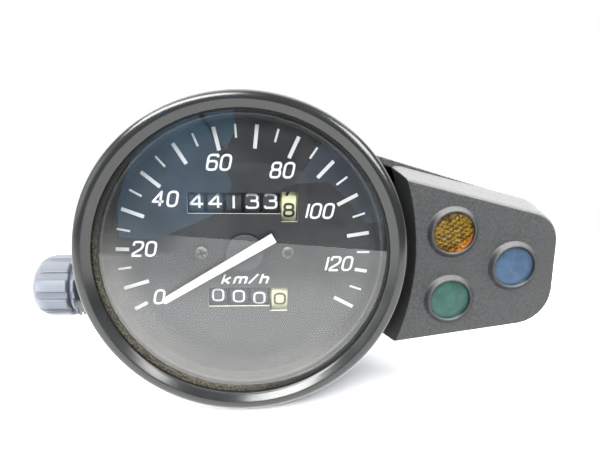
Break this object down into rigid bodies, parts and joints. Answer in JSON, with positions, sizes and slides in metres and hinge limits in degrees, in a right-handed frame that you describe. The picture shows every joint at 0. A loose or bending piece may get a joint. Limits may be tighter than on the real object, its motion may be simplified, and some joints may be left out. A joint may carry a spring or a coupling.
{
  "type": "motorcycle speedometer with warning-lamp unit",
  "caption": "Small round motorcycle speedometer with odometer, trip counter and reset knob, joined by a stay to a plastic warning-lamp unit with coloured lenses.",
  "frame": {"origin": "on the pointer's axis at the case's back face, where the cable boss starts", "axes": "dial faces -Y, +X to the dial's right, +Z to its top; +Y runs along the cable boss to its end"},
  "size_m": [0.1371, 0.072, 0.0784],
  "materials": {
    "black_paint": "semi-gloss",
    "dial_black": "matt",
    "pointer_white": "satin",
    "clear_glass": "clear",
    "bulb_glass": "clear",
    "rubber_brown": "perished",
    "rubber_black": "matt",
    "steel": "bright",
    "magnet_alloy": "ground",
    "cup_aluminium": "satin",
    "die_cast": "as cast",
    "brass": "satin",
    "acetal": "moulded",
    "wheel_black": "moulded",
    "wheel_cream": "moulded",
    "knob_grey": "satin",
    "lamp_plastic": "textured",
    "lens_amber": "ribbed",
    "lens_blue": "faded",
    "lens_green": "faded"
  },
  "bodies": {
    "instrument": {"case": "black_paint", "bezel": "black_paint", "glass": "clear_glass", "glass_gasket": "rubber_brown", "dial_surround": "dial_black", "dial_plate": "dial_black", "dial_screws": "steel", "hairspring": "brass", "hairspring_regulator": "brass", "field_ring": "steel", "spindle_bush": "brass", "drive_housing": "die_cast", "movement_frame": "die_cast", "movement_screws": "steel", "odometer_shaft": "steel", "pinion_shafts": "steel", "reset_seal": "rubber_black", "dial_lamp_sockets": "rubber_black", "dial_lamp_bulbs": "bulb_glass", "stay": "black_paint", "stay_dampers": "rubber_black", "stay_fasteners": "steel", "lamp_housing": "lamp_plastic", "lamp_back_cover": "lamp_plastic", "amber_lens": "lens_amber", "blue_lens": "lens_blue", "green_lens": "lens_green", "lamp_sockets": "rubber_black", "lamp_bulbs": "bulb_glass", "lamp_screws": "steel"},
    "pointer_assembly": {"pointer": "pointer_white", "pointer_hub": "dial_black", "pointer_spindle": "steel", "speed_cup": "cup_aluminium"},
    "drive": {"drive_spindle": "steel", "magnet": "magnet_alloy"},
    "cross": {"cross_shaft": "acetal"},
    "riser": {"riser_shaft": "acetal"},
    "idler": {"trip_idler_gear": "acetal"},
    "trip_drive": {"trip_drive_gear": "acetal"},
    "reset": {"reset_knob": "knob_grey", "trip_shaft": "steel"},
    "odometer_1": {"odometer_wheel_1": "wheel_black"},
    "odometer_2": {"odometer_wheel_2": "wheel_black"},
    "odometer_3": {"odometer_wheel_3": "wheel_black"},
    "odometer_4": {"odometer_wheel_4": "wheel_black"},
    "odometer_5": {"odometer_wheel_5": "wheel_black"},
    "odometer_6": {"odometer_wheel_6": "wheel_cream"},
    "odometer_carry_1": {"odometer_pinion_1": "acetal"},
    "odometer_carry_2": {"odometer_pinion_2": "acetal"},
    "odometer_carry_3": {"odometer_pinion_3": "acetal"},
    "odometer_carry_4": {"odometer_pinion_4": "acetal"},
    "odometer_carry_5": {"odometer_pinion_5": "acetal"},
    "trip_1": {"trip_wheel_1": "wheel_black"},
    "trip_2": {"trip_wheel_2": "wheel_black"},
    "trip_3": {"trip_wheel_3": "wheel_black"},
    "trip_4": {"trip_wheel_4": "wheel_cream"},
    "trip_carry_1": {"trip_pinion_1": "acetal"},
    "trip_carry_2": {"trip_pinion_2": "acetal"},
    "trip_carry_3": {"trip_pinion_3": "acetal"}
  },
  "joints": [
    {"name": "pointer_sweep", "type": "hinge", "parent": "instrument", "child": "pointer_assembly", "pos_m": [0, 0, 0], "axis": [0, 1, 0], "range_deg": [0, 236], "stiffness_Nm_per_rad": 0.00004},
    {"name": "drive_spin", "type": "hinge", "parent": "instrument", "child": "drive", "pos_m": [0, 0, 0], "axis": [0, 1, 0], "continuous": true},
    {"name": "cross_spin", "type": "hinge", "parent": "instrument", "child": "cross", "pos_m": [0.0085, -0.011, 0], "axis": [0, 0, 1], "continuous": true},
    {"name": "riser_spin", "type": "hinge", "parent": "instrument", "child": "riser", "pos_m": [0.0159, 0, 0.0198], "axis": [0, -1, 0], "continuous": true},
    {"name": "odometer_1_spin", "type": "hinge", "parent": "instrument", "child": "odometer_1", "pos_m": [0, -0.038, 0.0125], "axis": [-1, 0, 0], "continuous": true},
    {"name": "odometer_2_spin", "type": "hinge", "parent": "instrument", "child": "odometer_2", "pos_m": [0, -0.038, 0.0125], "axis": [-1, 0, 0], "continuous": true},
    {"name": "odometer_3_spin", "type": "hinge", "parent": "instrument", "child": "odometer_3", "pos_m": [0, -0.038, 0.0125], "axis": [-1, 0, 0], "continuous": true},
    {"name": "odometer_4_spin", "type": "hinge", "parent": "instrument", "child": "odometer_4", "pos_m": [0, -0.038, 0.0125], "axis": [-1, 0, 0], "continuous": true},
    {"name": "odometer_5_spin", "type": "hinge", "parent": "instrument", "child": "odometer_5", "pos_m": [0, -0.038, 0.0125], "axis": [-1, 0, 0], "continuous": true},
    {"name": "odometer_6_spin", "type": "hinge", "parent": "instrument", "child": "odometer_6", "pos_m": [0, -0.038, 0.0125], "axis": [-1, 0, 0], "continuous": true},
    {"name": "odometer_carry_1_spin", "type": "hinge", "parent": "instrument", "child": "odometer_carry_1", "pos_m": [0, -0.02951, 0.0174], "axis": [-1, 0, 0], "continuous": true},
    {"name": "odometer_carry_2_spin", "type": "hinge", "parent": "instrument", "child": "odometer_carry_2", "pos_m": [0, -0.02951, 0.0174], "axis": [-1, 0, 0], "continuous": true},
    {"name": "odometer_carry_3_spin", "type": "hinge", "parent": "instrument", "child": "odometer_carry_3", "pos_m": [0, -0.02951, 0.0174], "axis": [-1, 0, 0], "continuous": true},
    {"name": "odometer_carry_4_spin", "type": "hinge", "parent": "instrument", "child": "odometer_carry_4", "pos_m": [0, -0.02951, 0.0174], "axis": [-1, 0, 0], "continuous": true},
    {"name": "odometer_carry_5_spin", "type": "hinge", "parent": "instrument", "child": "odometer_carry_5", "pos_m": [0, -0.02951, 0.0174], "axis": [-1, 0, 0], "continuous": true},
    {"name": "idler_spin", "type": "hinge", "parent": "instrument", "child": "idler", "pos_m": [0, -0.038, 0.0003], "axis": [-1, 0, 0], "continuous": true},
    {"name": "trip_drive_spin", "type": "hinge", "parent": "instrument", "child": "trip_drive", "pos_m": [0, -0.038, -0.0119], "axis": [-1, 0, 0], "continuous": true},
    {"name": "trip_1_spin", "type": "hinge", "parent": "instrument", "child": "trip_1", "pos_m": [0, -0.038, -0.0119], "axis": [-1, 0, 0], "continuous": true},
    {"name": "trip_2_spin", "type": "hinge", "parent": "instrument", "child": "trip_2", "pos_m": [0, -0.038, -0.0119], "axis": [-1, 0, 0], "continuous": true},
    {"name": "trip_3_spin", "type": "hinge", "parent": "instrument", "child": "trip_3", "pos_m": [0, -0.038, -0.0119], "axis": [-1, 0, 0], "continuous": true},
    {"name": "trip_4_spin", "type": "hinge", "parent": "instrument", "child": "trip_4", "pos_m": [0, -0.038, -0.0119], "axis": [-1, 0, 0], "continuous": true},
    {"name": "trip_carry_1_spin", "type": "hinge", "parent": "instrument", "child": "trip_carry_1", "pos_m": [0, -0.02951, -0.0168], "axis": [-1, 0, 0], "continuous": true},
    {"name": "trip_carry_2_spin", "type": "hinge", "parent": "instrument", "child": "trip_carry_2", "pos_m": [0, -0.02951, -0.0168], "axis": [-1, 0, 0], "continuous": true},
    {"name": "trip_carry_3_spin", "type": "hinge", "parent": "instrument", "child": "trip_carry_3", "pos_m": [0, -0.02951, -0.0168], "axis": [-1, 0, 0], "continuous": true},
    {"name": "reset_spin", "type": "hinge", "parent": "instrument", "child": "reset", "pos_m": [0, -0.038, -0.0119], "axis": [-1, 0, 0], "continuous": true}
  ],
  "couplings": [
    {"joint": "cross_spin", "follows": "drive_spin", "ratio": 0.071429},
    {"joint": "riser_spin", "follows": "drive_spin", "ratio": 0.0071429},
    {"joint": "odometer_1_spin", "follows": "drive_spin", "ratio": 0.0000000071429},
    {"joint": "odometer_2_spin", "follows": "drive_spin", "ratio": 0.000000071429},
    {"joint": "odometer_3_spin", "follows": "drive_spin", "ratio": 0.00000071429},
    {"joint": "odometer_4_spin", "follows": "drive_spin", "ratio": 0.0000071429},
    {"joint": "odometer_5_spin", "follows": "drive_spin", "ratio": 0.000071429},
    {"joint": "odometer_6_spin", "follows": "drive_spin", "ratio": 0.00071429},
    {"joint": "odometer_carry_1_spin", "follows": "drive_spin", "ratio": -0.000000017857},
    {"joint": "odometer_carry_2_spin", "follows": "drive_spin", "ratio": -0.00000017857},
    {"joint": "odometer_carry_3_spin", "follows": "drive_spin", "ratio": -0.0000017857},
    {"joint": "odometer_carry_4_spin", "follows": "drive_spin", "ratio": -0.000017857},
    {"joint": "odometer_carry_5_spin", "follows": "drive_spin", "ratio": -0.00017857},
    {"joint": "idler_spin", "follows": "drive_spin", "ratio": -0.0013605},
    {"joint": "trip_drive_spin", "follows": "drive_spin", "ratio": 0.00071429},
    {"joint": "trip_1_spin", "follows": "trip_4_spin", "ratio": 0.001},
    {"joint": "trip_2_spin", "follows": "trip_4_spin", "ratio": 0.01},
    {"joint": "trip_3_spin", "follows": "trip_4_spin", "ratio": 0.1},
    {"joint": "trip_carry_1_spin", "follows": "trip_4_spin", "ratio": -0.0025},
    {"joint": "trip_carry_2_spin", "follows": "trip_4_spin", "ratio": -0.025},
    {"joint": "trip_carry_3_spin", "follows": "trip_4_spin", "ratio": -0.25}
  ]
}
